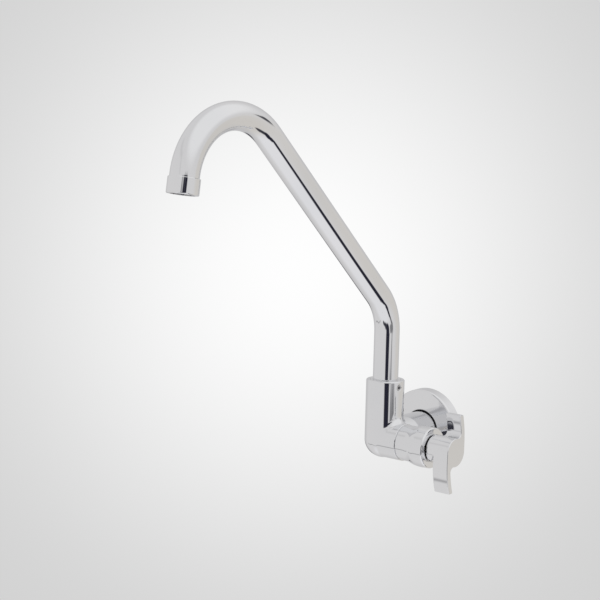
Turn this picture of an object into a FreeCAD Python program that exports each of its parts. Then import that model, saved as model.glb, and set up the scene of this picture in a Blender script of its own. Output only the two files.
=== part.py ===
import FreeCAD, Part

# A wall-mounted kitchen tap with a swivel swan-neck spout and a two-winged lever handle.
# Millimetres. The wall is the plane y = 0 and the room is towards -y. The origin is
# where the inlet's axis meets the wall. +z is up and the valve barrel runs along +x.

import math
import os
import re

import Sketcher
from FreeCAD import Placement, Rotation, Vector

# Driving sizes

SIZES = [
    ("wall_to_socket", 65.5, "wall to the spout's vertical axis"),
    ("socket_diameter", 33.2, "outside of the vertical socket and of the body's corner"),
    ("socket_height", 52.2, "inlet axis to the socket's rim"),
    ("socket_depth", 32.2, "rim to the floor that the slip ring lies on"),
    ("barrel_diameter", 32.0, "outside of the body's barrel"),
    ("barrel_length", 23.6, "spout axis to the seam with the sleeve"),
    ("branch_diameter", 32.6, "outside of the branch to the wall"),
    ("branch_wall_gap", 3.0, "branch end to the wall"),
    ("corner_blend", 6.0, "radius in the corners between the legs"),
    ("rim_round", 1.2, "rounded outer edge of the socket's rim"),
    ("rim_chamfer", 0.4, "lead-in at the mouth of the socket"),
    ("seam_round", 0.5, "rounded edges each side of the seam"),
    ("outlet_chamber_diameter", 21.0, "water space under the spout's end"),
    ("outlet_chamber_depth", 3.0, "its depth below the socket's floor"),
    ("inlet_bore", 14.0, "water way from the wall"),
    ("inlet_bore_past_axis", 7.5, "how far it goes past the spout's axis"),
    ("seat_bore", 12.0, "water way into the headwork's nose"),
    ("seat_depth", 8.0, "spout axis to the seat of the seal"),
    ("port_diameter", 8.0, "water way up to the spout"),
    ("port_offset", 10.0, "spout axis to the port's axis"),
    ("port_floor", 10.5, "inlet axis to the bottom of the port"),
    ("chamber_diameter", 24.4, "ring-shaped water space around the nose"),
    ("chamber_start", 11.0, "spout axis to the near end of that space"),
    ("chamber_end", 20.0, "spout axis to its far end"),
    ("pipe_thread_diameter", 20.955, "G 1/2 pipe thread, outside"),
    ("thread_clearance", 0.04, "radial, between a thread and its hole"),
    ("inlet_thread_depth", 16.0, "threaded depth in the branch"),
    ("neck_diameter", 26.4, "body's neck inside the sleeve"),
    ("neck_length", 10.4, "how far it stands past the seam"),
    ("nipple_bore", 12.0, "bore of the inlet nipple"),
    ("nipple_waist", 18.6, "waist between its two threads"),
    ("nipple_waist_to_wall", 0.5, "end of the waist to the wall"),
    ("nipple_key", 13.0, "hexagon socket in its outer end"),
    ("nipple_key_depth", 9.0, "its depth"),
    ("nipple_outside", 15.0, "thread that stands out past the wall"),
    ("nipple_gasket_thickness", 2.0, "flat seal at the nipple's inner end"),
    ("thread_lead_in", 1.0, "chamfer at the ends of a thread"),
    ("flange_diameter", 71.8, "wall flange at the wall"),
    ("flange_front_diameter", 71.0, "wall flange at its front edge"),
    ("flange_depth", 10.8, "wall to the flange's front face"),
    ("flange_wall", 1.2, "sheet thickness of the flange"),
    ("flange_round", 1.7, "rounded front edge"),
    ("flange_hole_gap", 1.0, "radial gap around the branch"),
    ("flange_hole_round", 0.9, "rounded front edge of its hole"),
    ("flange_ring_section", 2.6, "thickness of the rubber ring behind the flange"),
    ("sleeve_diameter", 30.6, "sleeve beside the seam"),
    ("sleeve_flare_diameter", 34.8, "sleeve at its wide end"),
    ("sleeve_flare_start", 32.0, "spout axis to the start of the flare"),
    ("sleeve_flare_end", 43.6, "spout axis to the end of the flare"),
    ("sleeve_end", 52.9, "spout axis to the sleeve's end face"),
    ("sleeve_end_round", 1.8, "rounded end edge"),
    ("sleeve_end_wall", 1.6, "wall of the end face"),
    ("sleeve_hole", 18.6, "hole for the spindle"),
    ("sleeve_clearance", 0.05, "radial, sleeve on the neck"),
    ("sleeve_ring_section", 1.6, "rubber ring that grips the sleeve"),
    ("sleeve_ring_inset", 5.4, "seam to the middle of that ring"),
    ("seat_seal_thickness", 2.2, "rubber seal at the nose"),
    ("seat_seal_hole", 12.4, "hole in that seal"),
    ("nose_diameter", 19.0, "outside of the headwork's nose"),
    ("nose_clearance", 0.1, "radial, nose in the body"),
    ("nose_setback", 0.3, "seal face to the end of the nose"),
    ("disc_diameter", 16.4, "ceramic discs"),
    ("disc_clearance", 0.2, "radial, discs in the nose"),
    ("fixed_disc_thickness", 2.8, "still disc"),
    ("moving_disc_thickness", 2.5, "turning disc"),
    ("disc_gap", 0.05, "film between the two lapped faces"),
    ("port_inner", 2.6, "inner radius of the openings in the discs"),
    ("port_outer", 6.6, "outer radius of those openings"),
    ("port_half_angle", 34.0, "half the angle that each opening spans"),
    ("window_width", 8.0, "side openings in the nose"),
    ("window_length", 3.6, "their length along the barrel"),
    ("foot_width", 5.0, "bar of the spindle that drives the disc"),
    ("foot_thickness", 3.0, "its thickness"),
    ("shoulder_diameter", 12.0, "spindle's thrust shoulder"),
    ("shoulder_thickness", 2.0, "its thickness"),
    ("thrust_washer_thickness", 0.8, "slippery washer"),
    ("thrust_clearance", 0.1, "axial play of the spindle"),
    ("spindle_diameter", 9.0, "spindle in the headwork"),
    ("spindle_clearance", 0.08, "radial running fit"),
    ("spindle_ring_section", 1.3, "seals on the spindle"),
    ("spindle_ring_first", 5.0, "headwork's inner shoulder to the first seal"),
    ("spindle_ring_pitch", 5.0, "between the two seals"),
    ("ring_side_gap", 0.3, "room beside a seal in its groove"),
    ("cartridge_gasket_thickness", 1.0, "seal under the hexagon"),
    ("hexagon_width", 22.0, "across the headwork's flats"),
    ("hexagon_height", 6.0, "its length"),
    ("headwork_top_diameter", 17.2, "headwork past the hexagon"),
    ("headwork_top_length", 9.0, "its length"),
    ("clip_gap", 0.3, "headwork's end to the snap ring"),
    ("clip_thickness", 0.8, "snap ring"),
    ("clip_diameter", 13.2, "outside of the snap ring"),
    ("clip_groove_depth", 0.9, "its groove in the spindle"),
    ("clip_mouth", 5.6, "opening of the snap ring"),
    ("spline_diameter", 7.8, "toothed end of the spindle"),
    ("spline_depth", 0.45, "depth of its teeth"),
    ("spline_count", 20, "number of teeth"),
    ("spline_gap_share", 0.6667, "part of a tooth's pitch that its gap takes at the outside"),
    ("spline_reach", 13.0, "how far the spindle goes into the handle"),
    ("spline_clearance", 0.05, "radial, spindle in the handle"),
    ("hub_diameter", 24.4, "handle's hub"),
    ("hub_length", 22.6, "its length"),
    ("hub_gap", 0.8, "sleeve's end face to the hub"),
    ("hub_edge_round", 1.4, "rounded edge beside the sleeve"),
    ("hub_recess_diameter", 17.0, "hollow in the hub's inner face"),
    ("hub_recess_depth", 1.5, "its depth"),
    ("wing_width", 15.1, "wings along the barrel"),
    ("wing_thickness", 5.1, "wings across"),
    ("lower_wing_reach", 34.2, "handle axis to the lower wing's tip"),
    ("upper_wing_reach", 31.0, "handle axis to the upper wing's tip"),
    ("wing_straight", 8.0, "height at which a wing starts to curve"),
    ("wing_curve", 85.0, "radius of a wing's outer face"),
    ("wing_root_blend", 4.0, "radius where the inner face meets the hub"),
    ("wing_edge_round", 1.2, "rounded edges of the wings beside the sleeve and at the tips"),
    ("end_face_round", 0.7, "rounded edge of the handle's end face"),
    ("handle_screw_diameter", 4.0, "grub screw in the hub"),
    ("handle_screw_inset", 4.2, "hub's inner face to that screw"),
    ("handle_screw_point", 2.5, "diameter of its point"),
    ("handle_screw_tip", 0.8, "length of its point"),
    ("handle_screw_key", 2.0, "its hexagon socket"),
    ("tube_diameter", 22.0, "spout tube"),
    ("tube_wall", 1.0, "its wall"),
    ("bend_height", 93.5, "inlet axis to the start of the first bend"),
    ("bend_radius", 45.0, "first bend"),
    ("bend_angle", 47.0, "slope of the long run from vertical"),
    ("run_length", 191.7, "straight between the bends"),
    ("swan_radius", 51.6, "swan neck, on its centre line"),
    ("outlet_angle", 172.0, "slope of the outlet from vertical"),
    ("outlet_shoulder", 1.0, "swan neck's end to the aerator's ring"),
    ("outlet_straight", 5.8, "threaded straight inside the aerator's ring"),
    ("tail_diameter", 25.8, "spout's turned end"),
    ("tail_clearance", 0.08, "radial running fit in the socket"),
    ("tail_bore", 18.0, "water way through it"),
    ("tail_setback", 0.3, "its top below the rim"),
    ("tube_seat_depth", 12.0, "how far the tube goes into it"),
    ("tube_seat_clearance", 0.04, "brazing gap"),
    ("tail_lead_in", 0.8, "chamfer at its bottom"),
    ("slip_ring_thickness", 2.0, "washer under the spout"),
    ("slip_ring_clearance", 0.2, "radial, washer in the socket"),
    ("turning_gap", 0.3, "room between pieces that turn past each other"),
    ("tail_ring_section", 1.9, "seals on the spout's end"),
    ("tail_ring_first", 4.7, "its bottom to the first seal"),
    ("tail_ring_pitch", 6.0, "between the two seals"),
    ("retaining_groove_depth", 1.1, "groove for the grub screw's point"),
    ("retaining_groove_width", 3.6, "its width"),
    ("spout_screw_drop", 5.5, "rim to the grub screw's axis"),
    ("spout_screw_turn", -6.0, "its place around the socket, from +x"),
    ("spout_screw_diameter", 5.0, "grub screw in the socket"),
    ("spout_screw_point", 2.9, "diameter of its point"),
    ("spout_screw_key", 2.5, "its hexagon socket"),
    ("screw_inset", 0.4, "how far a grub screw lies under the surface"),
    ("screw_countersink", 0.5, "chamfer at its hole"),
    ("screw_key_depth", 1.8, "depth of a hexagon socket"),
    ("aerator_diameter", 24.0, "ring at the outlet, for an M22 outside thread"),
    ("aerator_length", 12.2, "its length"),
    ("aerator_mouth", 18.2, "opening in its bottom"),
    ("aerator_lip", 0.9, "thickness of its bottom"),
    ("aerator_round", 0.8, "rounded bottom edge"),
    ("aerator_top_chamfer", 0.4, "chamfer beside the tube"),
    ("aerator_washer_thickness", 1.6, "flat rubber seal"),
    ("aerator_washer_hole", 16.4, "hole in it"),
    ("aerator_seat_clearance", 0.15, "radial room around the inner pieces"),
    ("insert_flange_thickness", 1.0, "top of the flow straightener"),
    ("insert_body_diameter", 19.4, "flow straightener below its flange"),
    ("insert_wall", 1.2, "its skirt"),
    ("insert_hole", 1.5, "jets in the flow straightener"),
    ("insert_hole_circle", 13.0, "circle of those jets"),
    ("insert_hole_count", 16, "number of jets"),
    ("screen_thickness", 0.9, "outlet grid"),
    ("screen_hole", 2.0, "openings of the grid"),
    ("screen_ring_pitch", 3.0, "between the rings of openings"),
    ("overrun", 1.0, "how far an open cut is drawn past the surface that it opens"),
]

# Lengths worked out from the driving sizes

FORMULAS = {
    "socket_radius": "socket_diameter / 2",
    "barrel_radius": "barrel_diameter / 2",
    "branch_radius": "branch_diameter / 2",
    "branch_length": "wall_to_socket - branch_wall_gap",
    "thread_radius": "pipe_thread_diameter / 2",
    "thread_hole_radius": "thread_radius + thread_clearance",
    "neck_radius": "neck_diameter / 2",
    "neck_end": "barrel_length + neck_length",
    "inlet_thread_floor": "branch_length - inlet_thread_depth",
    "socket_floor": "socket_height - socket_depth",
    "tail_radius": "tail_diameter / 2",
    "socket_bore_radius": "tail_radius + tail_clearance",
    "seal_end": "seat_depth + seat_seal_thickness",
    "nose_radius": "nose_diameter / 2",
    "nose_start": "seal_end + nose_setback",
    "disc_radius": "disc_diameter / 2",
    "disc_bore_radius": "disc_radius + disc_clearance",
    "fixed_disc_end": "seal_end + fixed_disc_thickness",
    "moving_disc_start": "fixed_disc_end + disc_gap",
    "foot_start": "moving_disc_start + moving_disc_thickness",
    "shoulder_start": "foot_start + foot_thickness",
    "shoulder_end": "shoulder_start + shoulder_thickness",
    "washer_start": "shoulder_end + thrust_clearance",
    "headwork_shoulder": "washer_start + thrust_washer_thickness",
    "spindle_radius": "spindle_diameter / 2",
    "spindle_bore_radius": "spindle_radius + spindle_clearance",
    "spindle_ring_bottom": "spindle_radius - spindle_ring_section",
    "spindle_ring_at": "headwork_shoulder + spindle_ring_first",
    "hexagon_start": "neck_end + cartridge_gasket_thickness",
    "hexagon_end": "hexagon_start + hexagon_height",
    "headwork_end": "hexagon_end + headwork_top_length",
    "clip_start": "headwork_end + clip_gap",
    "clip_end": "clip_start + clip_thickness",
    "clip_groove_radius": "spindle_radius - clip_groove_depth",
    "spline_radius": "spline_diameter / 2",
    "spline_gap_half_angle": "spline_gap_share * 180 / spline_count",
    "hub_start": "sleeve_end + hub_gap",
    "hub_end": "hub_start + hub_length",
    "hub_radius": "hub_diameter / 2",
    "spindle_end": "hub_start + spline_reach",
    "wing_start": "hub_end - wing_width",
    "handle_screw_at": "hub_start + handle_screw_inset",
    "sleeve_radius": "sleeve_diameter / 2",
    "sleeve_flare_radius": "sleeve_flare_diameter / 2",
    "sleeve_bore_radius": "neck_radius + sleeve_clearance",
    "sleeve_ring_at": "barrel_length + sleeve_ring_inset",
    "sleeve_ring_bottom": "neck_radius - sleeve_ring_section",
    "tube_radius": "tube_diameter / 2",
    "tube_bore_radius": "tube_radius - tube_wall",
    "tail_bottom": "socket_floor + slip_ring_thickness + turning_gap",
    "tail_top": "socket_height - tail_setback",
    "tube_bottom": "tail_top - tube_seat_depth",
    "tail_ring_at": "tail_bottom + tail_ring_first",
    "tail_ring_bottom": "tail_radius - tail_ring_section",
    "spout_screw_at": "socket_height - spout_screw_drop",
    "groove_radius": "tail_radius - retaining_groove_depth",
    "flange_hole_radius": "branch_radius + flange_hole_gap",
    "nipple_end": "wall_to_socket + nipple_outside",
    "bend_end_y": "0 - bend_radius * (1 - cos(bend_angle))",
    "bend_end_z": "bend_height + bend_radius * sin(bend_angle)",
    "run_end_y": "bend_end_y - run_length * sin(bend_angle)",
    "run_end_z": "bend_end_z + run_length * cos(bend_angle)",
    "swan_centre_y": "run_end_y - swan_radius * cos(bend_angle)",
    "swan_centre_z": "run_end_z - swan_radius * sin(bend_angle)",
    "swan_end_y": "swan_centre_y + swan_radius * cos(outlet_angle)",
    "swan_end_z": "swan_centre_z + swan_radius * sin(outlet_angle)",
    "outlet_y": "swan_end_y - outlet_shoulder * sin(outlet_angle)",
    "outlet_z": "swan_end_z + outlet_shoulder * cos(outlet_angle)",
    "tube_end_y": "outlet_y - outlet_straight * sin(outlet_angle)",
    "tube_end_z": "outlet_z + outlet_straight * cos(outlet_angle)",
    "aerator_radius": "aerator_diameter / 2",
    "aerator_thread_radius": "tube_radius + thread_clearance",
    "aerator_inner_radius": "aerator_thread_radius - aerator_seat_clearance",
    "aerator_washer_end": "outlet_straight + aerator_washer_thickness",
    "insert_flange_end": "aerator_washer_end + insert_flange_thickness",
    "aerator_floor": "aerator_length - aerator_lip",
    "screen_start": "aerator_floor - screen_thickness",
    "insert_body_radius": "insert_body_diameter / 2",
}

doc = FreeCAD.newDocument("Tap")
sheet = doc.addObject("Spreadsheet::Sheet", "Sizes")
for row, (alias, value, note) in enumerate(SIZES, start=1):
    sheet.set(f"A{row}", alias.replace("_", " "))
    sheet.set(f"B{row}", str(value))
    sheet.setAlias(f"B{row}", alias)
    sheet.set(f"C{row}", note)
doc.recompute()
ALIASES = {alias for alias, value, note in SIZES}
NODES = []

# Two lengths this near each other count as the same, in millimetres.
CLOSE = 1e-3
# Faces that meet at more than this angle form a crease.
CREASE = math.radians(3.0)


def bound(formula):
    """The formula as an expression that reads the sheet."""
    def expand(match):
        word = match.group(0)
        if word in FORMULAS:
            return "(" + bound(FORMULAS[word]) + ")"
        return "Sizes." + word if word in ALIASES else word
    return re.sub(r"[a-z][a-z_0-9]*", expand, str(formula))


def size(formula):
    """The formula's present value as a number."""
    return float(sheet.evalExpression(bound(formula)))


class Arc:
    """A stretch of an outline that follows a circle; side is 1 to the left, -1 to the right."""

    def __init__(self, radius, side):
        self.radius = radius
        self.side = side

    def middle(self, start, end):
        chord = end - start
        radius = size(self.radius)
        rise = radius - math.sqrt(max(radius ** 2 - (chord.Length / 2) ** 2, 0.0))
        across = Vector(-chord.y, chord.x, 0).normalize()
        return (start + end) * 0.5 + across * rise * self.side


def new_body(name, at=("0", "0 - wall_to_socket", "0"), about=(0, 0, 1), angle="0"):
    """An empty body whose place and turn follow the sheet."""
    body = doc.addObject("PartDesign::Body", name)
    body.Label = name
    body.Placement = Placement(Vector(0, 0, 0), Rotation(Vector(*about), size(angle)))
    if angle != "0":
        body.setExpression("Placement.Rotation.Angle", bound(angle))
    for letter, formula in zip("xyz", at):
        body.setExpression("Placement.Base." + letter, bound(formula))
    return body


def new_sketch(body, plane, lift="0", turn="0"):
    """A sketch on one of the body's own planes, lifted along its normal and turned in it."""
    sketch = body.newObject("Sketcher::SketchObject", body.Name + "_sketch")
    role = [item for item in body.Origin.OriginFeatures if item.Role == plane][0]
    sketch.AttachmentSupport = [(role, "")]
    sketch.MapMode = "FlatFace"
    spin_about = Rotation(Vector(0, 0, 1), size(turn))
    sketch.AttachmentOffset = Placement(Vector(0, 0, size(lift)), spin_about)
    if lift != "0":
        sketch.setExpression("AttachmentOffset.Base.z", bound(lift))
    if turn != "0":
        sketch.setExpression("AttachmentOffset.Rotation.Angle", bound(turn))
    return sketch


def hold(sketch, formula, *constraint):
    """Add a constraint with a length that follows the sheet."""
    index = sketch.addConstraint(Sketcher.Constraint(*constraint, size(formula)))
    sketch.setExpression(f"Constraints[{index}]", bound(formula))


def pin_point(sketch, edge, end, point):
    """Tie one end of an edge to its two coordinates."""
    for kind, axis, formula in (("DistanceX", -2, point[0]), ("DistanceY", -1, point[1])):
        if formula == "0":
            sketch.addConstraint(Sketcher.Constraint("PointOnObject", edge, end, axis))
        else:
            hold(sketch, formula, kind, -1, 1, edge, end)


def draw(sketch, outline, closed=True):
    """Draw an outline of points, with an Arc between two points where it isn't straight."""
    points = []
    arcs = {}
    for item in outline:
        if isinstance(item, Arc):
            arcs[len(points) - 1] = item
        else:
            points.append(item)
    spots = [Vector(size(across), size(up), 0) for across, up in points]
    pieces = []
    for step in range(len(points) if closed else len(points) - 1):
        start = spots[step]
        end = spots[(step + 1) % len(spots)]
        line = Part.LineSegment(start, end)
        if step in arcs:
            line = Part.Arc(start, arcs[step].middle(start, end), end)
        edge = sketch.addGeometry(line, False)
        # An arc is kept anticlockwise, so its first point can be where the step ends.
        head = 1 if (sketch.getPoint(edge, 1) - start).Length < CLOSE else 2
        pieces.append((edge, head))
    for step, (edge, head) in enumerate(pieces):
        pin_point(sketch, edge, head, points[step])
        if closed or step + 1 < len(pieces):
            follower, follower_head = pieces[(step + 1) % len(pieces)]
            link = Sketcher.Constraint("Coincident", edge, 3 - head, follower, follower_head)
            sketch.addConstraint(link)
        else:
            pin_point(sketch, edge, 3 - head, points[step + 1])
        if step in arcs:
            hold(sketch, arcs[step].radius, "Radius", edge)


def draw_circle(sketch, radius, at=("0", "0")):
    """Draw one circle."""
    centre = Vector(size(at[0]), size(at[1]), 0)
    edge = sketch.addGeometry(Part.Circle(centre, Vector(0, 0, 1), size(radius)), False)
    pin_point(sketch, edge, 3, at)
    hold(sketch, radius, "Radius", edge)


def draw_hexagon(sketch, width):
    """Draw a hexagon with two flats square to the sketch's first axis."""
    corner = f"({width}) / sqrt(3)"
    draw(sketch, [(f"{corner} * cos({angle})", f"{corner} * sin({angle})")
                  for angle in range(30, 390, 60)])


def settle(body, feature, grows=None):
    """Recompute, and check that the feature added or took away material."""
    before = 0.0 if body.Shape.isNull() else body.Shape.Volume
    body.Tip = feature
    doc.recompute()
    if not feature.isValid():
        raise RuntimeError(f"{feature.Name}: {feature.getStatusString()}")
    gain = body.Shape.Volume - before
    if (grows is True and gain <= 0.0) or (grows is False and gain >= 0.0):
        raise RuntimeError(f"{feature.Name} changed the volume by {gain:.3f}")
    return feature


# The plane and the axis in it that an outline turns about.
TURN_AXIS = {"X": ("XZ_Plane", "H_Axis"), "Y": ("YZ_Plane", "H_Axis"), "Z": ("XZ_Plane", "V_Axis")}


def spin(body, axis, outline, cut=False, lift="0", turn="0"):
    """Turn an outline about an axis; points are (along, radius), or (radius, along) about Z.

    With a lift or a turn, the axis is level, lifted from the origin and turned from +x.
    """
    plane, reference = TURN_AXIS[axis]
    if lift != "0" or turn != "0":
        plane = "XY_Plane"
    sketch = new_sketch(body, plane, lift, turn)
    draw(sketch, outline)
    kind = "PartDesign::Groove" if cut else "PartDesign::Revolution"
    feature = body.newObject(kind, body.Name + ("_bore" if cut else "_turned"))
    feature.Profile = sketch
    feature.ReferenceAxis = (sketch, [reference])
    feature.Angle = 360.0
    return settle(body, feature, not cut)


def extrude(body, plane, lift, length, drawing, cut=False, backwards=False):
    """Raise or cut what drawing(sketch) draws, over a length along the plane's normal.

    The normals are +x, -y and +z; backwards goes against them.
    """
    sketch = new_sketch(body, plane, lift)
    drawing(sketch)
    kind = "PartDesign::Pocket" if cut else "PartDesign::Pad"
    feature = body.newObject(kind, body.Name + ("_cut" if cut else "_raised"))
    feature.Profile = sketch
    feature.setExpression("Length", bound(length))
    feature.Reversed = backwards != cut
    return settle(body, feature, not cut)


def repeat(body, feature, axis, count, name):
    """Repeat a feature evenly around one of the body's axes."""
    pattern = body.newObject("PartDesign::PolarPattern", body.Name + name)
    role = [item for item in body.Origin.OriginFeatures if item.Role == axis + "_Axis"][0]
    pattern.Originals = [feature]
    pattern.Axis = (role, [""])
    pattern.Angle = 360.0
    pattern.setExpression("Occurrences", bound(count))
    return settle(body, pattern)


def soften(body, kind, amount, wanted):
    """Round or chamfer the edges that wanted(edge) picks."""
    base = body.Tip
    names = [f"Edge{number}" for number, edge in enumerate(base.Shape.Edges, 1)
             if not edge.Degenerated and wanted(edge)]
    if not names:
        raise RuntimeError(f"no edges to soften on {body.Name}")
    feature = body.newObject("PartDesign::" + kind, body.Name + "_" + kind.lower())
    feature.Base = (base, names)
    feature.setExpression("Radius" if kind == "Fillet" else "Size", bound(amount))
    return settle(body, feature)


def ring_edge(axis, along, radius):
    """A test for the circular edge of this radius, centred on an axis at this place along it."""
    def wanted(edge):
        curve = edge.Curve
        if not isinstance(curve, Part.Circle) or abs(curve.Radius - size(radius)) > CLOSE:
            return False
        level = abs(getattr(curve.Center, axis) - size(along)) < CLOSE
        return level and abs(getattr(curve.Axis, axis)) > 1.0 - CLOSE
    return wanted


def finish(node):
    """Note the node, so that its shape is checked and written."""
    NODES.append(node)
    return node


def torus_rings(name, axis, places, middle, section):
    """Rubber rings of round section about an axis; a node of one or more separate rings."""
    direction = {"X": Vector(1, 0, 0), "Y": Vector(0, 1, 0), "Z": Vector(0, 0, 1)}[axis]
    rings = []
    for number, along in enumerate(places, 1):
        ring = doc.addObject("Part::Torus", f"{name}_{number}")
        ring.Placement = Placement(Vector(0, 0, 0), Rotation(Vector(0, 0, 1), direction))
        ring.setExpression("Radius1", bound(middle))
        ring.setExpression("Radius2", bound(section))
        spot = {"X": "0", "Y": "0", "Z": "0", axis: along}
        spot["Y"] += " - wall_to_socket"
        for letter, formula in spot.items():
            ring.setExpression("Placement.Base." + letter.lower(), bound(formula))
        rings.append(ring)
    if len(rings) == 1:
        rings[0].Label = name
        return finish(rings[0])
    group = doc.addObject("Part::Compound", name)
    group.Label = name
    group.Links = rings
    return finish(group)


def washer(name, axis, start, thickness, inner, outer, **place):
    """A flat ring about an axis of its own body."""
    body = new_body(name, **place)
    end = f"{start} + {thickness}"
    outline = [(inner, start), (outer, start), (outer, end), (inner, end)]
    if axis != "Z":
        outline = [(along, radius) for radius, along in outline]
    spin(body, axis, outline)
    return finish(body)


# Valve body: one casting with a socket upwards, a barrel to +x and a branch to the wall

def corner_edge(shape):
    """A test for the creases where the body's legs run into each other."""
    reach = size("socket_radius + overrun")

    def wanted(edge):
        box = edge.BoundBox
        faces = shape.ancestorsOfType(edge, Part.Face)
        if max(box.XMax, box.YMax, box.ZMax) > reach or len(faces) != 2:
            return False
        if faces[0].isSame(faces[1]):
            return False
        point = edge.valueAt((edge.FirstParameter + edge.LastParameter) / 2)
        normals = [face.normalAt(*face.Surface.parameter(point)) for face in faces]
        return normals[0].getAngle(normals[1]) > CREASE
    return wanted


def make_valve_body():
    body = new_body("valve_body")
    ball = body.newObject("PartDesign::AdditiveSphere", "valve_body_corner")
    ball.setExpression("Radius", bound("socket_radius"))
    settle(body, ball, True)
    extrude(body, "XY_Plane", "0", "socket_height",
            lambda sketch: draw_circle(sketch, "socket_radius"))
    extrude(body, "YZ_Plane", "0", "barrel_length",
            lambda sketch: draw_circle(sketch, "barrel_radius"))
    extrude(body, "XZ_Plane", "0", "branch_length",
            lambda sketch: draw_circle(sketch, "branch_radius"), backwards=True)
    soften(body, "Fillet", "corner_blend", corner_edge(body.Tip.Shape))
    soften(body, "Fillet", "rim_round", ring_edge("z", "socket_height", "socket_radius"))
    soften(body, "Fillet", "seam_round", ring_edge("x", "barrel_length", "barrel_radius"))
    extrude(body, "YZ_Plane", "barrel_length", "neck_length",
            lambda sketch: draw_circle(sketch, "neck_radius"))
    # The socket, and the water space under the spout.
    chamber = "outlet_chamber_diameter / 2"
    chamber_floor = "socket_floor - outlet_chamber_depth"
    spin(body, "Z", [("0", chamber_floor), (chamber, chamber_floor), (chamber, "socket_floor"),
                     ("socket_bore_radius", "socket_floor"),
                     ("socket_bore_radius", "socket_height - rim_chamfer"),
                     ("socket_bore_radius + rim_chamfer", "socket_height"),
                     ("0", "socket_height")], cut=True)
    # The valve bore: the seat's water way, the nose, the ring-shaped space and the thread.
    seat = "seat_bore / 2"
    nose = "nose_radius + nose_clearance"
    ring = "chamber_diameter / 2"
    spin(body, "X", [("0", "0"), ("0", seat), ("seat_depth", seat), ("seat_depth", nose),
                     ("chamber_start", nose), ("chamber_start", ring), ("chamber_end", ring),
                     ("chamber_end", "thread_hole_radius"), ("neck_end", "thread_hole_radius"),
                     ("neck_end", "0")], cut=True)
    # The inlet: thread and water way.
    way = "inlet_bore / 2"
    spin(body, "Y", [("0 - inlet_bore_past_axis", "0"), ("0 - inlet_bore_past_axis", way),
                     ("inlet_thread_floor", way), ("inlet_thread_floor", "thread_hole_radius"),
                     ("branch_length", "thread_hole_radius"), ("branch_length", "0")], cut=True)
    # The port from the ring-shaped space up to the spout.
    extrude(body, "XY_Plane", "port_floor", f"{chamber_floor} - port_floor",
            lambda sketch: draw_circle(sketch, "port_diameter / 2", ("port_offset", "0")),
            cut=True)
    # The groove of the ring that grips the sleeve.
    half = "(sleeve_ring_section / 2 + ring_side_gap)"
    spin(body, "X", [(f"sleeve_ring_at - {half}", "sleeve_ring_bottom"),
                     (f"sleeve_ring_at - {half}", "neck_radius + overrun"),
                     (f"sleeve_ring_at + {half}", "neck_radius + overrun"),
                     (f"sleeve_ring_at + {half}", "sleeve_ring_bottom")], cut=True)
    # The threaded hole of the spout's grub screw, with a small countersink.
    hole = "spout_screw_diameter / 2"
    mouth = f"{hole} + screw_countersink"
    spin(body, "X", [("groove_radius", "0"), ("groove_radius", hole),
                     ("socket_radius - screw_countersink", hole),
                     ("socket_radius", mouth), ("socket_radius + overrun", mouth),
                     ("socket_radius + overrun", "0")],
         cut=True, lift="spout_screw_at", turn="spout_screw_turn")
    return finish(body)


# Inlet: nipple, its gasket, the wall flange and its rubber ring

def make_inlet_nipple():
    body = new_body("inlet_nipple")
    bore = "nipple_bore / 2"
    start = "inlet_thread_floor + nipple_gasket_thickness"
    thin = "thread_radius - thread_lead_in"
    waist = "nipple_waist / 2"
    waist_end = "wall_to_socket - nipple_waist_to_wall"
    spin(body, "Y", [(start, bore), (start, thin), (f"{start} + thread_lead_in", "thread_radius"),
                     ("branch_length", "thread_radius"), ("branch_length", waist),
                     (waist_end, waist), (waist_end, "thread_radius"),
                     ("nipple_end - thread_lead_in", "thread_radius"), ("nipple_end", thin),
                     ("nipple_end", bore)])
    extrude(body, "XZ_Plane", "0 - nipple_end", "nipple_key_depth",
            lambda sketch: draw_hexagon(sketch, "nipple_key"), cut=True)
    return finish(body)


def make_wall_flange():
    body = new_body("wall_flange", at=("0", "0", "0"))
    back = "flange_diameter / 2"
    front = "flange_front_diameter / 2"
    face = "0 - flange_depth"
    inside = f"{face} + flange_wall"
    spin(body, "Y", [("0", f"{back} - flange_wall"), ("0", back), (face, front),
                     (face, "flange_hole_radius"), (inside, "flange_hole_radius"),
                     (inside, f"{front} - flange_wall")])
    soften(body, "Fillet", "flange_round", ring_edge("y", face, front))
    soften(body, "Fillet", "flange_hole_round", ring_edge("y", face, "flange_hole_radius"))
    soften(body, "Fillet", "flange_round - flange_wall",
           ring_edge("y", inside, f"{front} - flange_wall"))
    return finish(body)


# Sleeve over the body's neck

def make_bonnet_sleeve():
    body = new_body("bonnet_sleeve")
    run = "((sleeve_flare_end - sleeve_flare_start) / 2)"
    step = "((sleeve_flare_radius - sleeve_radius) / 2)"
    curve = f"({run} * {run} + {step} * {step}) / (2 * {step})"
    inside = "sleeve_end - sleeve_end_wall"
    spin(body, "X", [("barrel_length", "sleeve_bore_radius"), ("barrel_length", "sleeve_radius"),
                     ("sleeve_flare_start", "sleeve_radius"), Arc(curve, -1),
                     (f"sleeve_flare_start + {run}", f"sleeve_radius + {step}"),
                     Arc(curve, 1), ("sleeve_flare_end", "sleeve_flare_radius"),
                     ("sleeve_end", "sleeve_flare_radius"), ("sleeve_end", "sleeve_hole / 2"),
                     (inside, "sleeve_hole / 2"), (inside, "sleeve_bore_radius")])
    soften(body, "Fillet", "sleeve_end_round",
           ring_edge("x", "sleeve_end", "sleeve_flare_radius"))
    soften(body, "Fillet", "seam_round", ring_edge("x", "barrel_length", "sleeve_radius"))
    return finish(body)


# Headwork: ceramic discs, spindle and their seals

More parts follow.
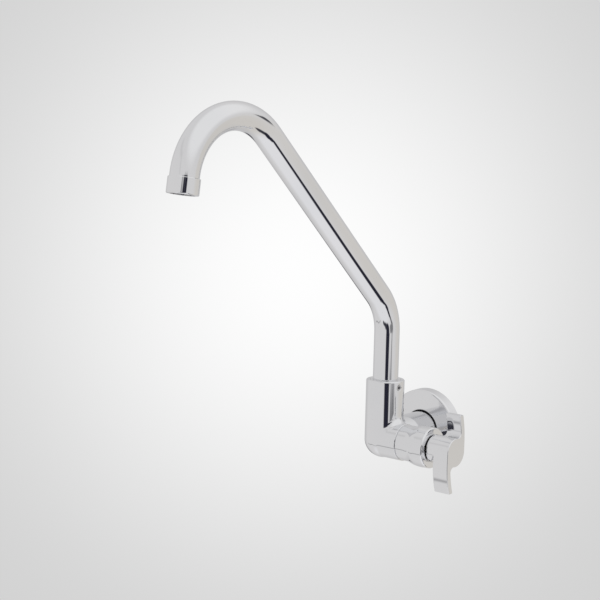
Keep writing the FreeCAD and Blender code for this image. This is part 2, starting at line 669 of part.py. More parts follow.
def opening(middle):
    """A drawing of one disc opening, centred this many degrees from the sketch's first axis."""
    low = f"({middle} - port_half_angle)"
    high = f"({middle} + port_half_angle)"

    def drawing(sketch):
        draw(sketch, [(f"port_inner * cos{low}", f"port_inner * sin{low}"),
                      (f"port_outer * cos{low}", f"port_outer * sin{low}"),
                      Arc("port_outer", -1),
                      (f"port_outer * cos{high}", f"port_outer * sin{high}"),
                      (f"port_inner * cos{high}", f"port_inner * sin{high}"),
                      Arc("port_inner", 1)])
    return drawing


def make_disc(name, start, thickness, middle):
    """A ceramic disc with two openings; the first one's middle is given in degrees."""
    body = new_body(name)
    extrude(body, "YZ_Plane", start, thickness, lambda sketch: draw_circle(sketch, "disc_radius"))
    hole = extrude(body, "YZ_Plane", start, thickness, opening(middle), cut=True)
    repeat(body, hole, "X", "2", "_openings")
    return finish(body)


def make_cartridge_body():
    body = new_body("cartridge_body")
    top = "headwork_top_diameter / 2"
    spin(body, "X", [("nose_start", "disc_bore_radius"), ("nose_start", "nose_radius"),
                     ("chamber_end", "nose_radius"),
                     ("chamber_end + thread_lead_in", "thread_radius"),
                     ("hexagon_start", "thread_radius"), ("hexagon_start", top),
                     ("headwork_end", top), ("headwork_end", "spindle_bore_radius"),
                     ("headwork_shoulder", "spindle_bore_radius"),
                     ("headwork_shoulder", "disc_bore_radius")])

    def draw_nut(sketch):
        draw_hexagon(sketch, "hexagon_width")
        draw_circle(sketch, f"{top} - thread_lead_in")

    extrude(body, "YZ_Plane", "hexagon_start", "hexagon_height", draw_nut)
    # Four side openings, level with the spindle's foot.
    half = "window_width / 2"
    inner = "disc_bore_radius / 2"
    outer = "nose_radius + overrun"
    window = extrude(body, "YZ_Plane", "foot_start + turning_gap", "window_length",
                     lambda sketch: draw(sketch, [(inner, f"0 - {half}"), (outer, f"0 - {half}"),
                                                  (outer, half), (inner, half)]), cut=True)
    repeat(body, window, "X", "4", "_windows")
    return finish(body)


def make_spindle():
    body = new_body("spindle")
    half = "(spindle_ring_section / 2 + ring_side_gap)"
    outline = [("shoulder_start", "0"), ("shoulder_start", "shoulder_diameter / 2"),
               ("shoulder_end", "shoulder_diameter / 2"), ("shoulder_end", "spindle_radius")]
    for along in spindle_rings():
        outline += [(f"{along} - {half}", "spindle_radius"),
                    (f"{along} - {half}", "spindle_ring_bottom"),
                    (f"{along} + {half}", "spindle_ring_bottom"),
                    (f"{along} + {half}", "spindle_radius")]
    outline += [("clip_start", "spindle_radius"), ("clip_start", "clip_groove_radius"),
                ("clip_end", "clip_groove_radius"), ("clip_end", "spline_radius"),
                ("spindle_end", "spline_radius"), ("spindle_end", "0")]
    spin(body, "X", outline)
    half = "foot_width / 2"
    side = "sqrt(disc_radius * disc_radius - foot_width * foot_width / 4)"
    extrude(body, "YZ_Plane", "foot_start", "foot_thickness",
            lambda sketch: draw(sketch, [(f"0 - {half}", f"0 - {side}"), Arc("disc_radius", -1),
                                         (half, f"0 - {side}"), (half, side),
                                         Arc("disc_radius", -1), (f"0 - {half}", side)]))
    # The teeth of the end that the handle sits on.
    outside = "(spline_radius + spline_depth)"
    reach = f"{outside} * cos(spline_gap_half_angle)"
    swing = f"{outside} * sin(spline_gap_half_angle)"
    gap = extrude(body, "YZ_Plane", "hub_start + hub_recess_depth",
                  "spindle_end - hub_start - hub_recess_depth",
                  lambda sketch: draw(sketch, [("spline_radius - spline_depth", "0"),
                                               (reach, f"0 - {swing}"), (reach, swing)]),
                  cut=True)
    repeat(body, gap, "X", "spline_count", "_teeth")
    return finish(body)


def spindle_rings():
    """Places of the spindle's seals along the barrel."""
    return ["spindle_ring_at", "(spindle_ring_at + spindle_ring_pitch)"]


def make_spindle_clip():
    body = new_body("spindle_clip")
    outer = "clip_diameter / 2"
    spin(body, "X", [("clip_start", "clip_groove_radius"), ("clip_start", outer),
                     ("clip_end", outer), ("clip_end", "clip_groove_radius")])
    half = "clip_mouth / 2"
    extrude(body, "YZ_Plane", "clip_start", "clip_thickness",
            lambda sketch: draw(sketch, [(f"0 - {half}", "0"), (half, "0"),
                                         (half, "clip_diameter"), (f"0 - {half}", "clip_diameter")]),
            cut=True)
    return finish(body)


# Handle: a hub and two curved wings, one the other's half turn

def wing_outline(reach):
    """Half the wings' outline: from the hub down one wing's outer face and back up its inner."""
    centre = "(wing_curve - hub_radius)"
    inner = "(wing_curve - wing_thickness)"
    drop = f"({reach} - wing_straight)"
    inner_face = "wing_thickness - hub_radius"
    return [("0 - hub_radius", "0"), ("0 - hub_radius", "0 - wing_straight"),
            Arc("wing_curve", -1),
            (f"{centre} - sqrt(wing_curve * wing_curve - {drop} * {drop})", f"0 - {reach}"),
            (f"{centre} - sqrt({inner} * {inner} - {drop} * {drop})", f"0 - {reach}"),
            Arc(inner, 1),
            (inner_face, "0 - wing_straight"), (inner_face, "0 - wing_straight / 2")]


def opposite(point):
    """The same place after half a turn about the barrel's axis."""
    return tuple("0" if formula == "0" else f"0 - ({formula})" for formula in point)


def draw_wings(sketch):
    """Both wings and a link between them, inside the hub; their outer faces start on the hub."""
    upper = [item if isinstance(item, Arc) else opposite(item)
             for item in wing_outline("upper_wing_reach")]
    draw(sketch, wing_outline("lower_wing_reach") + upper)


def wing_edge(edge):
    """A test for the edges around each wing's inner side and its tip's corners."""
    box = edge.BoundBox
    far = max(abs(box.ZMin), abs(box.ZMax))
    tip = size("upper_wing_reach" if box.ZMax > 0 else "lower_wing_reach")
    at_tip = box.ZLength < CLOSE and abs(far - tip) < CLOSE
    at_back = abs(box.XMax - size("wing_start")) < CLOSE
    return (at_back and far > size("hub_radius")) or (at_tip and box.XLength > CLOSE)


def root_edge(edge):
    """A test for the crease where a wing's inner face leaves the hub."""
    box = edge.BoundBox
    along_barrel = max(box.YLength, box.ZLength) < CLOSE < box.XLength
    on_hub = abs(math.hypot(box.YMin, box.ZMin) - size("hub_radius")) < CLOSE
    return along_barrel and on_hub and abs(box.ZMin) > size("wing_straight") / 2


def end_edge(edge):
    """A test for the outline of the end face."""
    return abs(edge.BoundBox.XMin - size("hub_end")) < CLOSE


def make_handle():
    body = new_body("handle")
    extrude(body, "YZ_Plane", "wing_start", "wing_width", draw_wings)
    soften(body, "Fillet", "wing_edge_round", wing_edge)
    extrude(body, "YZ_Plane", "hub_start", "hub_length",
            lambda sketch: draw_circle(sketch, "hub_radius"))
    soften(body, "Fillet", "wing_root_blend", root_edge)
    soften(body, "Fillet", "end_face_round", end_edge)
    soften(body, "Fillet", "hub_edge_round", ring_edge("x", "hub_start", "hub_radius"))
    # The recess, the spindle's hole and the grub screw's hole on the wall side.
    hole = "spline_radius + spline_clearance"
    recess = "hub_recess_diameter / 2"
    spin(body, "X", [("hub_start", "0"), ("hub_start", recess),
                     ("hub_start + hub_recess_depth", recess),
                     ("hub_start + hub_recess_depth", hole),
                     ("spindle_end + turning_gap", hole), ("spindle_end + turning_gap", "0")],
         cut=True)
    extrude(body, "XZ_Plane", "0", "hub_radius",
            lambda sketch: draw_circle(sketch, "handle_screw_diameter / 2",
                                       ("handle_screw_at", "0")), cut=True, backwards=True)
    return finish(body)


def make_grub_screw(name, at, turn, inner, outer, diameter, point, shoulder, key):
    """A screw along its body's +x: a point from inner, the thread from shoulder to outer."""
    body = new_body(name, at=at, angle=turn)
    radius = f"({diameter} / 2 - thread_clearance)"
    spin(body, "X", [(inner, "0"), (inner, point), (shoulder, point),
                     (f"{shoulder} + {radius} - {point}", radius), (outer, radius), (outer, "0")])
    extrude(body, "YZ_Plane", outer, "screw_key_depth",
            lambda sketch: draw_hexagon(sketch, key), cut=True, backwards=True)
    return finish(body)


# Spout: bent tube on a turned end that runs in the socket

def tail_rings():
    """Heights of the seals on the spout's end."""
    return ["tail_ring_at", "(tail_ring_at + tail_ring_pitch)"]


def make_spout_tailpiece():
    body = new_body("spout_tailpiece")
    bore = "tail_bore / 2"
    seat = "tube_radius + tube_seat_clearance"
    half = "(tail_ring_section / 2 + ring_side_gap)"
    outline = [(bore, "tail_bottom"), ("tail_radius - tail_lead_in", "tail_bottom"),
               ("tail_radius", "tail_bottom + tail_lead_in")]
    grooves = [(along, half, "tail_ring_bottom") for along in tail_rings()]
    grooves.append(("spout_screw_at", "(retaining_groove_width / 2)", "groove_radius"))
    for along, reach, bottom in grooves:
        outline += [("tail_radius", f"{along} - {reach}"), (bottom, f"{along} - {reach}"),
                    (bottom, f"{along} + {reach}"), ("tail_radius", f"{along} + {reach}")]
    outline += [("tail_radius", "tail_top"), (seat, "tail_top"), (seat, "tube_bottom"),
                (bore, "tube_bottom")]
    spin(body, "Z", outline)
    return finish(body)


def make_spout_tube():
    body = new_body("spout_tube")
    path = new_sketch(body, "YZ_Plane")
    draw(path, [("0", "tube_bottom"), ("0", "bend_height"), Arc("bend_radius", -1),
                ("bend_end_y", "bend_end_z"), ("run_end_y", "run_end_z"),
                Arc("swan_radius", -1), ("swan_end_y", "swan_end_z"),
                ("tube_end_y", "tube_end_z")], closed=False)
    section = new_sketch(body, "XY_Plane", "tube_bottom")
    draw_circle(section, "tube_radius")
    draw_circle(section, "tube_bore_radius")
    doc.recompute()
    pipe = body.newObject("PartDesign::AdditivePipe", "spout_tube_bent")
    pipe.Profile = section
    pipe.Spine = (path, [f"Edge{number}" for number in range(1, len(path.Shape.Edges) + 1)])
    settle(body, pipe, True)
    return finish(body)


# Aerator: its pieces stand on the outlet's axis, a little past the swan neck's end

AT_OUTLET = {"at": ("0", "outlet_y - wall_to_socket", "outlet_z"),
             "about": (1, 0, 0), "angle": "outlet_angle"}


def make_aerator_housing():
    body = new_body("aerator_housing", **AT_OUTLET)
    seat = "insert_body_radius + aerator_seat_clearance"
    mouth = "aerator_mouth / 2"
    spin(body, "Z", [("aerator_thread_radius", "0"), ("aerator_radius", "0"),
                     ("aerator_radius", "aerator_length"), (mouth, "aerator_length"),
                     (mouth, "aerator_floor"), (seat, "aerator_floor"),
                     (seat, "insert_flange_end"), ("aerator_thread_radius", "insert_flange_end")])
    soften(body, "Fillet", "aerator_round", ring_edge("z", "aerator_length", "aerator_radius"))
    soften(body, "Chamfer", "aerator_top_chamfer", ring_edge("z", "0", "aerator_radius"))
    return finish(body)


def make_aerator_insert():
    body = new_body("aerator_insert", **AT_OUTLET)
    outer = "insert_body_radius"
    inner = "insert_body_radius - insert_wall"
    start = "aerator_washer_end"
    spin(body, "Z", [("0", start), ("aerator_inner_radius", start),
                     ("aerator_inner_radius", "insert_flange_end"), (outer, "insert_flange_end"),
                     (outer, "screen_start"), (inner, "screen_start"),
                     (inner, "insert_flange_end"), ("0", "insert_flange_end")])
    jet = extrude(body, "XY_Plane", start, "insert_flange_thickness",
                  lambda sketch: draw_circle(sketch, "insert_hole / 2",
                                             ("insert_hole_circle / 2", "0")), cut=True)
    repeat(body, jet, "Z", "insert_hole_count", "_jets")
    return finish(body)


def make_aerator_screen():
    body = new_body("aerator_screen", **AT_OUTLET)
    outer = "insert_body_radius"
    spin(body, "Z", [("0", "screen_start"), (outer, "screen_start"), (outer, "aerator_floor"),
                     ("0", "aerator_floor")])
    hole = "screen_hole / 2"
    extrude(body, "XY_Plane", "screen_start", "screen_thickness",
            lambda sketch: draw_circle(sketch, hole), cut=True)
    for ring in (1, 2):
        spot = (f"{ring} * screen_ring_pitch", "0")
        first = extrude(body, "XY_Plane", "screen_start", "screen_thickness",
                        lambda sketch: draw_circle(sketch, hole, spot), cut=True)
        repeat(body, first, "Z", str(6 * ring), f"_ring_{ring}")
    return finish(body)


make_valve_body()

make_inlet_nipple()
washer("nipple_gasket", "Y", "inlet_thread_floor", "nipple_gasket_thickness",
       "nipple_bore / 2", "thread_radius")
make_wall_flange()
torus_rings("flange_o_ring", "Y",
            ["wall_to_socket - flange_depth + flange_wall + flange_ring_section / 2"],
            "branch_radius + flange_ring_section / 2", "flange_ring_section / 2")

make_bonnet_sleeve()
torus_rings("sleeve_o_ring", "X", ["sleeve_ring_at"],
            "neck_radius - sleeve_ring_section / 2", "sleeve_ring_section / 2")

washer("seat_seal", "X", "seat_depth", "seat_seal_thickness", "seat_seal_hole / 2", "disc_radius")
make_disc("fixed_disc", "seal_end", "fixed_disc_thickness", "0")
make_disc("moving_disc", "moving_disc_start", "moving_disc_thickness", "90")
make_spindle()
torus_rings("spindle_o_rings", "X", spindle_rings(),
            "spindle_radius - spindle_ring_section / 2", "spindle_ring_section / 2")
washer("thrust_washer", "X", "washer_start", "thrust_washer_thickness", "spindle_bore_radius",
       "shoulder_diameter / 2")
make_cartridge_body()
washer("cartridge_gasket", "X", "neck_end", "cartridge_gasket_thickness",
       "thread_hole_radius", "neck_radius")
make_spindle_clip()

make_handle()
make_grub_screw("handle_grub_screw", ("handle_screw_at", "0 - wall_to_socket", "0"), "90",
                "spline_radius + spline_clearance", "hub_radius - screw_inset",
                "handle_screw_diameter", "handle_screw_point / 2",
                "(spline_radius + spline_clearance + handle_screw_tip)", "handle_screw_key")

washer("spout_slip_ring", "Z", "socket_floor", "slip_ring_thickness",
       "outlet_chamber_diameter / 2", "socket_bore_radius - slip_ring_clearance")
make_spout_tailpiece()
torus_rings("spout_o_rings", "Z", tail_rings(),
            "tail_radius - tail_ring_section / 2", "tail_ring_section / 2")
make_grub_screw("spout_grub_screw", ("0", "0 - wall_to_socket", "spout_screw_at"),
                "spout_screw_turn", "groove_radius + turning_gap",
                "socket_radius - screw_inset", "spout_screw_diameter", "spout_screw_point / 2",
                "(tail_radius + turning_gap)", "spout_screw_key")
make_spout_tube()

make_aerator_housing()
washer("aerator_washer", "Z", "outlet_straight", "aerator_washer_thickness",
       "aerator_washer_hole / 2", "aerator_inner_radius", **AT_OUTLET)
make_aerator_insert()
make_aerator_screen()

doc.recompute()
for item in doc.Objects:
    if {"Invalid", "Error"} & set(item.State):
        raise RuntimeError(f"{item.Name} is {item.State}")
os.makedirs("parts", exist_ok=True)
for node in NODES:
    if node.Shape.isNull() or not node.Shape.isValid():
        raise RuntimeError(f"{node.Label} has no valid shape")
    node.Shape.exportStep(f"parts/{node.Label}.step")
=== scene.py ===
"""Wall-mounted swivel-spout kitchen tap: finishes, inlet thread and studio."""

import math

import bpy
import bmesh
from bpy.props import FloatProperty, FloatVectorProperty, PointerProperty
from mathutils import Matrix, Vector


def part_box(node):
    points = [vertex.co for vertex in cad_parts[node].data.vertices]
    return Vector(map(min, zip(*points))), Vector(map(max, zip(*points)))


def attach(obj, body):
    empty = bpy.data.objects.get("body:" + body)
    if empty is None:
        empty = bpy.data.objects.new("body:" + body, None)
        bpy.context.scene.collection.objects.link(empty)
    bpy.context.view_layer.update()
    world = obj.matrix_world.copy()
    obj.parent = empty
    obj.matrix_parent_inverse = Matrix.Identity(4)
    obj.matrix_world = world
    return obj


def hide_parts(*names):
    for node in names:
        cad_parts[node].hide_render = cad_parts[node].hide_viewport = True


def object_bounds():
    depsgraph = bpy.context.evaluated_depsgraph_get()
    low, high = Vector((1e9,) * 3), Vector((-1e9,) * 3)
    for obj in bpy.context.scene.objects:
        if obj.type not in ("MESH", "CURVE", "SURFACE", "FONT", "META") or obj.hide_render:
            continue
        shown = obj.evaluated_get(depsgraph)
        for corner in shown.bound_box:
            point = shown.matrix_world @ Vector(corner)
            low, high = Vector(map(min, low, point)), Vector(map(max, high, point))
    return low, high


bl_info = {
    "name": "Kitchen tap",
    "version": (1, 0, 0),
    "blender": (4, 5, 0),
    "location": "View3D > Sidebar > Tap",
    "description": "Finishes, inlet thread and studio of a wall-mounted swivel-spout tap",
    "category": "Object",
}

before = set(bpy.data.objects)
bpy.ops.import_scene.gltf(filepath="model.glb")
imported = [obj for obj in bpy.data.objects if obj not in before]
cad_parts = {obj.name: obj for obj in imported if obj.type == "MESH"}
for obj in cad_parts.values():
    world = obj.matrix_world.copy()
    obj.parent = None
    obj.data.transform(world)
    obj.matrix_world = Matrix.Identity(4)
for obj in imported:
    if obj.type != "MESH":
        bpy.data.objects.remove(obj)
CAD_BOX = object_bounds()

CHROME_NODES = ("valve_body", "wall_flange", "bonnet_sleeve", "handle", "spout_tube",
                "aerator_housing")
BRASS_NODES = ("cartridge_body", "spindle")
RUBBER_NODES = ("nipple_gasket", "flange_o_ring", "sleeve_o_ring", "spout_o_rings",
                "cartridge_gasket", "seat_seal", "spindle_o_rings", "aerator_washer")
PLASTIC_NODES = ("spout_slip_ring", "thrust_washer", "aerator_insert")
CERAMIC_NODES = ("fixed_disc", "moving_disc")
STEEL_NODES = ("spindle_clip", "handle_grub_screw", "spout_grub_screw", "aerator_screen")

MM = 0.001
# How far down the spout's turned end the chrome plate reaches, and the height over which
# it thins out into bare brass.
PLATED_TOP = 1.2 * MM
PLATE_EDGE = 0.3 * MM
# Weight of the radius in a turned line's place, so that flat ends carry lines as well.
FACING_WEIGHT = 0.8
# Faces that meet more sharply than this keep a sharp edge.
SHARP_ANGLE = math.radians(50.0)


# Sizes and colours that a user may change

def tint(name, description, default):
    return FloatVectorProperty(name=name, description=description, subtype="COLOR", size=3,
                               min=0.0, max=1.0, default=default)


def length(name, description, default):
    return FloatProperty(name=name, description=description, unit="LENGTH", precision=6,
                         min=0.0, default=default)


def share(name, description, default):
    return FloatProperty(name=name, description=description, subtype="FACTOR",
                         min=0.0, max=1.0, default=default)


class TAP_PG_chrome(bpy.types.PropertyGroup):
    colour: tint("Colour", "Tone of the polished chrome plate", (0.80, 0.80, 0.81))
    worn_colour: tint("Worn tone", "Tone of the plate where it was buffed hardest",
                      (0.77, 0.775, 0.79))
    roughness: share("Roughness", "Roughness of the clean plate", 0.03)
    haze: share("Haze", "Roughness that wiping marks add", 0.035)
    ripple: length("Ripple", "Depth of the waves that buffing leaves", 0.0000012)


class TAP_PG_brass(bpy.types.PropertyGroup):
    colour: tint("Colour", "Freshly turned brass", (0.72, 0.54, 0.26))
    dull_colour: tint("Dull colour", "Brass where it has tarnished", (0.52, 0.36, 0.15))
    roughness: share("Roughness", "Roughness of the turned faces", 0.24)
    haze: share("Haze", "Roughness that tarnish adds", 0.16)
    line_haze: share("Line haze", "Roughness that the tool's lines add", 0.06)
    line_depth: length("Line depth", "Depth of the lines that the turning tool leaves",
                       0.000006)


class TAP_PG_rubber(bpy.types.PropertyGroup):
    colour: tint("Colour", "Moulded black rubber", (0.022, 0.022, 0.024))
    bloom_colour: tint("Bloom", "Paler film on the rubber's skin", (0.06, 0.06, 0.062))
    roughness: share("Roughness", "Roughness of the moulded skin", 0.55)
    haze: share("Haze", "Roughness that the film adds", 0.18)
    grain: length("Grain", "Depth of the moulded grain", 0.000012)


class TAP_PG_plastic(bpy.types.PropertyGroup):
    colour: tint("Colour", "White moulded acetal", (0.82, 0.82, 0.80))
    shade_colour: tint("Shade", "Acetal where the melt ran thin", (0.74, 0.74, 0.71))
    roughness: share("Roughness", "Roughness of the moulded skin", 0.38)
    haze: share("Haze", "Roughness that the grain adds", 0.10)
    grain: length("Grain", "Depth of the moulded grain", 0.000006)


class TAP_PG_ceramic(bpy.types.PropertyGroup):
    colour: tint("Colour", "Fired alumina", (0.86, 0.83, 0.76))
    speck_colour: tint("Specks", "Darker grains in the alumina", (0.68, 0.64, 0.56))
    roughness: share("Roughness", "Roughness of the lapped faces", 0.12)
    haze: share("Haze", "Roughness that uneven lapping adds", 0.10)
    sheen: share("Sheen", "Strength of the lapped skin's clear reflection", 0.2)


class TAP_PG_steel(bpy.types.PropertyGroup):
    colour: tint("Colour", "Stainless steel", (0.55, 0.55, 0.56))
    dull_colour: tint("Dull colour", "Steel in the tool marks", (0.40, 0.40, 0.42))
    roughness: share("Roughness", "Roughness of the drawn wire and bar", 0.26)
    haze: share("Haze", "Roughness that dirt adds", 0.14)
    line_depth: length("Line depth", "Depth of the drawing marks", 0.000005)


class TAP_PG_thread(bpy.types.PropertyGroup):
    pitch: length("Pitch", "Distance from one crest to the next, G 1/2", 1.8143 * MM)
    depth: length("Depth", "Height of the thread from root to crest, G 1/2", 1.162 * MM)
    waist_start: length("Waist from wall", "Far end of the waist, measured from the wall",
                        3.0 * MM)
    waist_end: length("Waist to wall", "Near end of the waist, measured from the wall",
                      0.5 * MM)
    waist_radius: length("Waist radius", "Radius of the waist between the threads", 9.3 * MM)
    lead_in: length("Lead-in", "Bevel at each end of the nipple", 1.0 * MM)
    bore: length("Bore", "Bore for the water", 12.0 * MM)
    key: length("Key", "Hexagon socket across its flats", 13.0 * MM)
    key_depth: length("Key depth", "Depth of the hexagon socket", 9.0 * MM)


class TAP_PG_studio(bpy.types.PropertyGroup):
    centre_colour: tint("Background", "Brightest tone of the background",
                        (0.99, 0.99, 0.99))
    edge_colour: tint("Background edge", "Background away from its brightest spot",
                      (0.65, 0.65, 0.65))
    glow_reach: FloatProperty(name="Glow reach", subtype="ANGLE", min=0.01, max=math.pi,
                              description="Angle at which the background's bright spot ends",
                              default=math.radians(20.0))
    room_colour: tint("Room tone", "General tone of the room that the metal mirrors",
                      (0.755, 0.75, 0.75))
    card_colour: tint("Dark card", "Dark navy cards that the metal mirrors",
                      (0.022, 0.022, 0.036))
    daylight: FloatProperty(name="Daylight", description="Level of the light from all sides",
                            min=0.0, default=0.66)
    key_power: FloatProperty(name="Key lamp", description="Power of the large soft lamp",
                             unit="POWER", min=0.0, default=5.0)
    fill_power: FloatProperty(name="Fill lamp", description="Power of the second lamp",
                              unit="POWER", min=0.0, default=2.5)
    focal_length: FloatProperty(name="Focal length", description="Lens of the camera in mm",
                                subtype="DISTANCE_CAMERA", min=1.0, default=76.62)
    floor_colour: tint("Floor", "Paint of the floor", (0.80, 0.80, 0.80))
    fleck_colour: tint("Floor flecks", "Paler flecks in the floor's paint",
                       (0.84, 0.84, 0.84))
    floor_drop: length("Floor drop", "Floor below the lowest point of the tap", 0.28)
    floor_radius: length("Floor radius", "Radius of the floor", 0.55)


# Shader maths

class Wire:
    """One output of a node. Arithmetic on it adds the Math nodes that work it out."""

    def __init__(self, tree, socket):
        self.tree = tree
        self.socket = socket

    def reckon(self, operation, *others, swapped=False):
        """One Math node on this value and others, or on others and this value."""
        terms = (self, *others)
        if swapped:
            terms = terms[::-1]
        return self.tree.node("ShaderNodeMath", {"operation": operation},
                              dict(enumerate(terms)))

    def __add__(self, other):
        return self.reckon("ADD", other)

    def __radd__(self, other):
        return self.reckon("ADD", other, swapped=True)

    def __sub__(self, other):
        return self.reckon("SUBTRACT", other)

    def __rsub__(self, other):
        return self.reckon("SUBTRACT", other, swapped=True)

    def __mul__(self, other):
        return self.reckon("MULTIPLY", other)

    def __rmul__(self, other):
        return self.reckon("MULTIPLY", other, swapped=True)

    def __truediv__(self, other):
        return self.reckon("DIVIDE", other)

    def __rtruediv__(self, other):
        return self.reckon("DIVIDE", other, swapped=True)

    def __pow__(self, other):
        return self.reckon("POWER", other)

    def __rpow__(self, other):
        return self.reckon("POWER", other, swapped=True)

    def at_least(self, other):
        return self.reckon("MAXIMUM", other)

    def at_most(self, other):
        return self.reckon("MINIMUM", other)

    def held(self):
        """This value kept between 0 and 1."""
        return self.at_least(0.0).at_most(1.0)

    def ease(self, start, end):
        """Runs smoothly from 0 where this value is start to 1 where it is end."""
        return self.tree.node("ShaderNodeMapRange", {"interpolation_type": "SMOOTHSTEP"},
                              {"Value": self, "From Min": start, "From Max": end})


class Tree:
    """The nodes of one material or world."""

    def __init__(self, owner):
        owner.use_nodes = True
        self.tree = owner.node_tree
        self.tree.nodes.clear()

    def node(self, kind, settings=None, values=None, output=0):
        """A new node: its settings are set first, then its sockets get values or links."""
        made = self.tree.nodes.new(kind)
        for name, setting in (settings or {}).items():
            setattr(made, name, setting)
        for name, value in (values or {}).items():
            if isinstance(value, Wire):
                self.tree.links.new(value.socket, made.inputs[name])
            else:
                made.inputs[name].default_value = value
        if not made.outputs:
            return None
        return Wire(self, made.outputs[output])

    def blend(self, factor, first, second):
        """A colour between two others."""
        return self.node("ShaderNodeMix", {"data_type": "RGBA"},
                         {0: factor, 6: opaque(first), 7: opaque(second)}, output=2)

    def stretch(self, vector, factors):
        return self.node("ShaderNodeVectorMath", {"operation": "MULTIPLY"},
                         {0: vector, 1: factors})

    def parts(self, vector):
        """The three numbers of a vector."""
        made = self.node("ShaderNodeSeparateXYZ", values={0: vector})
        outputs = made.socket.node.outputs
        return [Wire(self, outputs[axis]) for axis in range(3)]

    def noise(self, place, scale, detail=2.0, roughness=0.5):
        return self.node("ShaderNodeTexNoise", None,
                         {"Vector": place, "Scale": scale, "Detail": detail,
                          "Roughness": roughness})

    def bump(self, height, depth):
        """A relief whose height of 0 to 1 stands for this depth in metres."""
        return self.node("ShaderNodeBump", None,
                         {"Height": height, "Distance": depth, "Strength": 1.0})


def opaque(colour):
    """A colour as a colour socket takes it."""
    if isinstance(colour, Wire):
        return colour
    return (*tuple(colour)[:3], 1.0)


class Finish(Tree):
    """A material with one main shader."""

    def __init__(self, name):
        self.material = bpy.data.materials.new(name)
        super().__init__(self.material)

    def place(self):
        """Where a point lies on the tap at rest, in metres."""
        return self.node("ShaderNodeTexCoord", output="Object")

    def close(self, constants, values):
        """Ends the material in its shader: numbers that stay the same, then what varies."""
        values = {name: opaque(value) if name == "Base Color" else value
                  for name, value in values.items()}
        shader = self.node("ShaderNodeBsdfPrincipled", None, {**constants, **values})
        self.node("ShaderNodeOutputMaterial", None, {"Surface": shader})
        return self.material


def dress(names, material):
    """Gives the CAD nodes of these names a material."""
    for name in names:
        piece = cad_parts[name]
        for slot in piece.material_slots:
            slot.material = material


# Finishes

def polished_chrome(look):
    finish = Finish("polished_chrome")
    place = finish.place()
    wiping = finish.noise(finish.stretch(place, (1.0, 1.0, 0.45)),
                          scale=38.0, detail=3.0, roughness=0.55)
    buffing = finish.noise(place, scale=260.0, detail=1.5)
    broad = finish.noise(place, scale=14.0)
    colour = finish.blend(broad.ease(0.35, 0.75), look.colour, look.worn_colour)
    roughness = look.roughness + wiping.ease(0.42, 0.80) * look.haze
    return finish.close({"Metallic": 1.0},
                        {"Base Color": colour, "Roughness": roughness,
                         "Normal": finish.bump(buffing, look.ripple)})


def turned_brass(look, axis, name="turned_brass", plate=None, plated_from=0.0):
    """Brass from a lathe, with fine lines round this axis. Where a plate is given, it covers
    the brass from a place along the axis on."""
    finish = Finish(name + "_" + axis)
    place = finish.place()
    sides = finish.parts(place)
    along = sides.pop("xyz".index(axis))
    radius = (sides[0] * sides[0] + sides[1] * sides[1]) ** 0.5
    lines = finish.node("ShaderNodeTexNoise", {"noise_dimensions": "1D"},
                        {"W": along + FACING_WEIGHT * radius, "Scale": 4200.0,
                         "Detail": 2.0})
    tarnish = finish.noise(place, scale=120.0, detail=4.0, roughness=0.6)
    colour = finish.blend(tarnish.ease(0.45, 0.75), look.colour, look.dull_colour)
    roughness = (look.roughness + look.haze * tarnish.ease(0.4, 0.8)
                 + look.line_haze * lines)
    if plate:
        plated = along.ease(plated_from, plated_from + PLATE_EDGE)
        colour = finish.blend(plated, colour, plate.colour)
        roughness = roughness + plated * (plate.roughness - roughness)
        lines = lines * (1.0 - plated)
    return finish.close({"Metallic": 1.0},
                        {"Base Color": colour, "Roughness": roughness,
                         "Normal": finish.bump(lines, look.line_depth)})


def moulded_rubber(look):
    finish = Finish("moulded_rubber")
    place = finish.place()
    bloom = finish.noise(place, scale=240.0, detail=4.0, roughness=0.6)
    grain = finish.noise(place, scale=2600.0)
    colour = finish.blend(bloom.ease(0.5, 0.8), look.colour, look.bloom_colour)
    roughness = look.roughness + look.haze * bloom
    return finish.close({"Specular IOR Level": 0.4},
                        {"Base Color": colour, "Roughness": roughness,
                         "Normal": finish.bump(grain, look.grain)})


def moulded_acetal(look):
    finish = Finish("moulded_acetal")
    place = finish.place()
    flow = finish.noise(finish.stretch(place, (1.0, 1.0, 2.5)), scale=130.0, detail=3.0)
    grain = finish.noise(place, scale=3200.0)
    colour = finish.blend(flow.ease(0.4, 0.75), look.colour, look.shade_colour)
    roughness = look.roughness + look.haze * grain
    return finish.close({"Subsurface Weight": 0.08, "Subsurface Scale": 0.002},
                        {"Base Color": colour, "Roughness": roughness,
                         "Normal": finish.bump(grain, look.grain)})


def lapped_ceramic(look):
    finish = Finish("lapped_ceramic")
    place = finish.place()
    speck = finish.noise(place, scale=2400.0, detail=3.0, roughness=0.7)
    cloud = finish.noise(place, scale=160.0)
    colour = finish.blend(speck.ease(0.6, 0.74), look.colour, look.speck_colour)
    roughness = look.roughness + look.haze * cloud
    return finish.close({"Coat Roughness": 0.05},
                        {"Base Color": colour, "Roughness": roughness,
                         "Coat Weight": look.sheen * cloud})


def drawn_steel(look):
    finish = Finish("drawn_steel")
    place = finish.place()
    lines = finish.noise(finish.stretch(place, (1.0, 6.0, 6.0)),
                         scale=900.0, detail=3.0, roughness=0.6)
    dirt = finish.noise(place, scale=300.0, detail=3.0)
    colour = finish.blend(lines.ease(0.35, 0.75), look.colour, look.dull_colour)
    roughness = look.roughness + look.haze * dirt
    return finish.close({"Metallic": 1.0},
                        {"Base Color": colour, "Roughness": roughness,
                         "Normal": finish.bump(lines, look.line_depth)})


# The inlet nipple with its real thread

STEPS_ROUND = 96
ANGLES = [2 * math.pi * step / STEPS_ROUND for step in range(STEPS_ROUND)]
POINTS_PER_PITCH = 12
# Pitches by which the helix starts before the nipple's inner end, so that it covers it.
RUN_IN = 2.0
